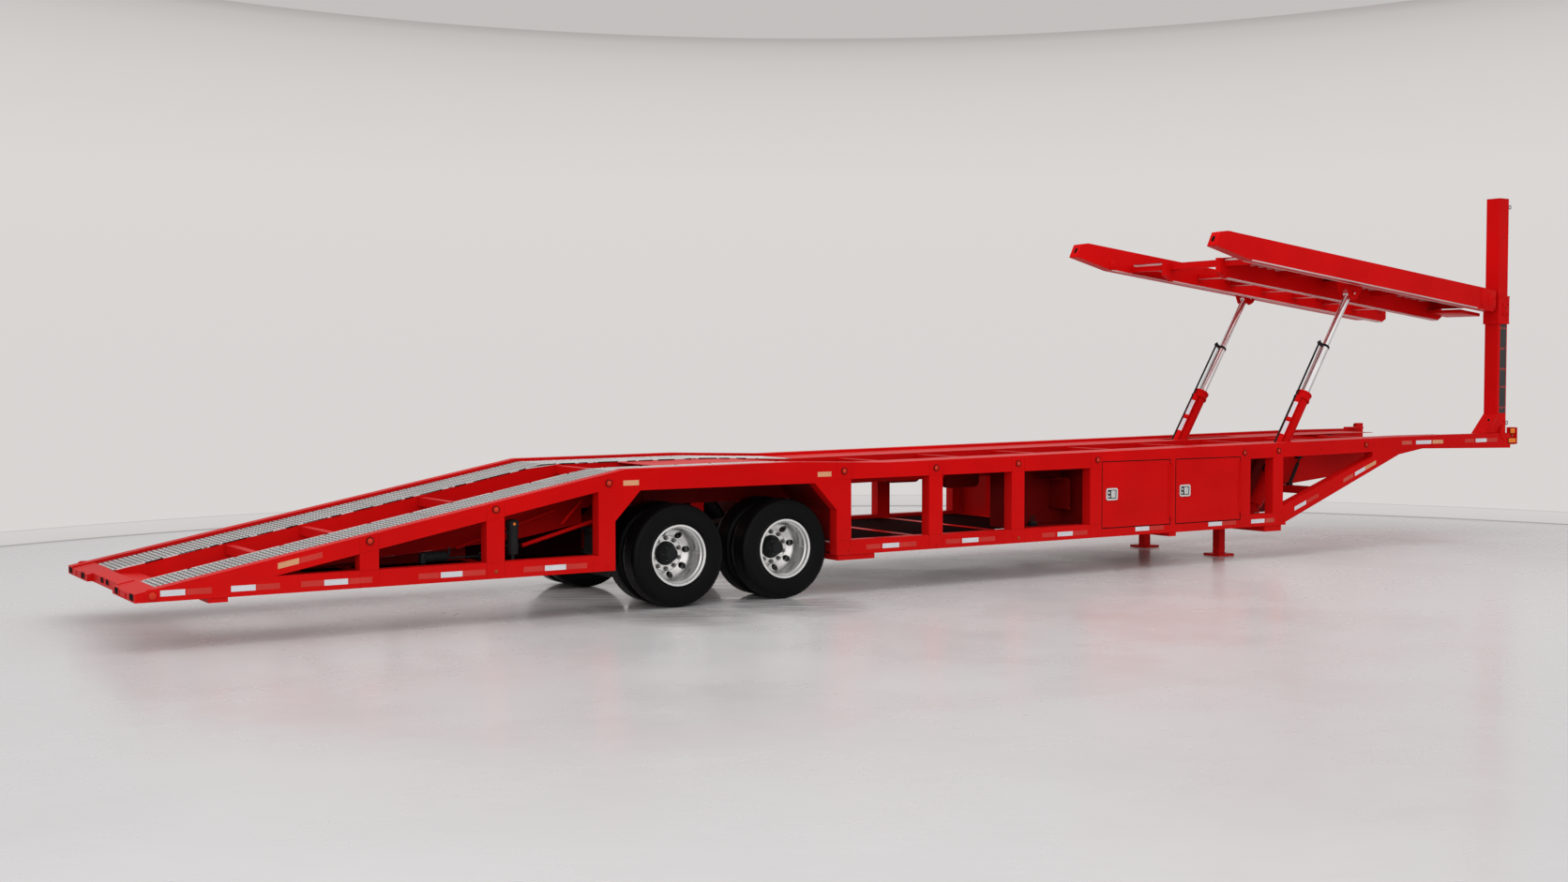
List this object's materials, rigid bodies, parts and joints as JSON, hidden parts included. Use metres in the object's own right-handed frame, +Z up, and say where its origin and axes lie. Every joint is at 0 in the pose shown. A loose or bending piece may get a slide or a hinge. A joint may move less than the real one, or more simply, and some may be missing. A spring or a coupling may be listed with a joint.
{
  "type": "car transporter semi-trailer",
  "caption": "Low car-carrying semi-trailer with ramped runways, open-truss sides, toolboxes, twin-tyre tandem axles and a tilting upper deck on a post and lift cylinders.",
  "frame": {"origin": "on the ground, at the middle of the overall length and width", "axes": "+X forward to the kingpin end, +Y to the left, +Z up"},
  "size_m": [18.16, 2.624, 4.62],
  "materials": {
    "red_steel": "gloss red enamel with road grime",
    "tread_aluminium": "raised tread pattern, dull",
    "tyre": "matt",
    "wheel_metal": "dull",
    "chrome": "polished",
    "bare_steel": "machined",
    "black_steel": "satin black",
    "rubber": "matt"
  },
  "bodies": {
    "chassis": {"arch_plate": "red_steel", "axles": "black_steel", "bay_panels": "red_steel", "belly_cross_members": "red_steel", "bottom_rail_left": "red_steel", "bottom_rail_right": "red_steel", "coupler_plate": "black_steel", "deck_cross_members": "red_steel", "deck_plates": "red_steel", "front_post": "red_steel", "inner_rail_left": "red_steel", "inner_rail_right": "red_steel", "kingpin": "bare_steel", "landing_legs": "red_steel", "leaf_springs": "black_steel", "left_post_pad": "red_steel", "mudflaps": "rubber", "neck_struts": "black_steel", "side_posts_left": "red_steel", "side_posts_right": "red_steel", "spring_hangers": "black_steel", "tail_beam": "red_steel", "toolbox_left": "red_steel", "toolbox_right": "red_steel", "top_rail_left": "red_steel", "top_rail_right": "red_steel", "tread_plates": "tread_aluminium"},
    "rear_right_wheels": {"tyres_rear_right": "tyre", "wheels_rear_right": "wheel_metal"},
    "rear_left_wheels": {"tyres_rear_left": "tyre", "wheels_rear_left": "wheel_metal"},
    "front_right_wheels": {"tyres_front_right": "tyre", "wheels_front_right": "wheel_metal"},
    "front_left_wheels": {"tyres_front_left": "tyre", "wheels_front_left": "wheel_metal"},
    "rear_right_door": {"toolbox_door_rear_right": "red_steel"},
    "rear_left_door": {"toolbox_door_rear_left": "red_steel"},
    "front_right_door": {"toolbox_door_front_right": "red_steel"},
    "front_left_door": {"toolbox_door_front_left": "red_steel"},
    "post_sleeve": {"post_sleeve": "red_steel"},
    "upper_deck": {"upper_beam_right": "red_steel", "upper_beam_left": "red_steel", "upper_inner_beams": "red_steel", "upper_runways": "red_steel", "upper_cross_members": "red_steel", "lift_brackets": "red_steel"},
    "lift_pins": {"lift_pins": "bare_steel"},
    "lift_barrels": {"lift_barrels": "red_steel"},
    "lift_stages": {"lift_stages": "chrome"},
    "lift_rods": {"lift_rods": "chrome"}
  },
  "joints": [
    {"name": "rear_right_wheels_spin", "type": "hinge", "parent": "chassis", "child": "rear_right_wheels", "pos_m": [-4.03, -0.959, 0.502], "axis": [0, 1, 0], "continuous": true},
    {"name": "rear_left_wheels_spin", "type": "hinge", "parent": "chassis", "child": "rear_left_wheels", "pos_m": [-4.03, 0.959, 0.502], "axis": [0, 1, 0], "continuous": true},
    {"name": "front_right_wheels_spin", "type": "hinge", "parent": "chassis", "child": "front_right_wheels", "pos_m": [-2.81, -0.959, 0.502], "axis": [0, 1, 0], "continuous": true},
    {"name": "front_left_wheels_spin", "type": "hinge", "parent": "chassis", "child": "front_left_wheels", "pos_m": [-2.81, 0.959, 0.502], "axis": [0, 1, 0], "continuous": true},
    {"name": "rear_right_door_hinge", "type": "hinge", "parent": "chassis", "child": "rear_right_door", "pos_m": [2.504, -1.304, 0.88], "axis": [0, 0, 1], "range_deg": [0, 110]},
    {"name": "rear_left_door_hinge", "type": "hinge", "parent": "chassis", "child": "rear_left_door", "pos_m": [2.504, 1.304, 0.88], "axis": [0, 0, -1], "range_deg": [0, 110]},
    {"name": "front_right_door_hinge", "type": "hinge", "parent": "chassis", "child": "front_right_door", "pos_m": [3.68, -1.304, 0.88], "axis": [0, 0, 1], "range_deg": [0, 110]},
    {"name": "front_left_door_hinge", "type": "hinge", "parent": "chassis", "child": "front_left_door", "pos_m": [3.68, 1.304, 0.88], "axis": [0, 0, -1], "range_deg": [0, 110]},
    {"name": "deck_slide", "type": "slide", "parent": "chassis", "child": "post_sleeve", "axis": [0, 0, 1], "range_m": [-0.81, 0.81]},
    {"name": "deck_tilt", "type": "hinge", "parent": "post_sleeve", "child": "upper_deck", "pos_m": [8.56, -1.197, 3.235], "axis": [0, -1, 0], "range_deg": [-5, 25]},
    {"name": "lift_trunnion", "type": "hinge", "parent": "chassis", "child": "lift_pins", "pos_m": [4.335, 0, 0.52], "axis": [0, 1, 0], "range_deg": [-7.7, 7.7]},
    {"name": "lift_lean", "type": "hinge", "parent": "lift_pins", "child": "lift_barrels", "pos_m": [4.335, 0, 0.52], "axis": [0, 1, 0], "range_deg": [-2.9, 14.1]},
    {"name": "lift_stage_slide", "type": "slide", "parent": "lift_barrels", "child": "lift_stages", "axis": [0.5417, 0, 0.8406], "range_m": [-0.66, 0.66]},
    {"name": "lift_rod_slide", "type": "slide", "parent": "lift_stages", "child": "lift_rods", "axis": [0.5417, 0, 0.8406], "range_m": [-0.7, 0.145]}
  ],
  "couplings": [
    {"joint": "lift_trunnion", "follows": "deck_slide", "rad_per_m": -0.1644},
    {"joint": "lift_lean", "follows": "deck_tilt", "ratio": 0.5597},
    {"joint": "lift_stage_slide", "follows": "deck_slide", "ratio": 0.8066},
    {"joint": "lift_rod_slide", "follows": "deck_tilt", "m_per_rad": -1.5897}
  ]
}
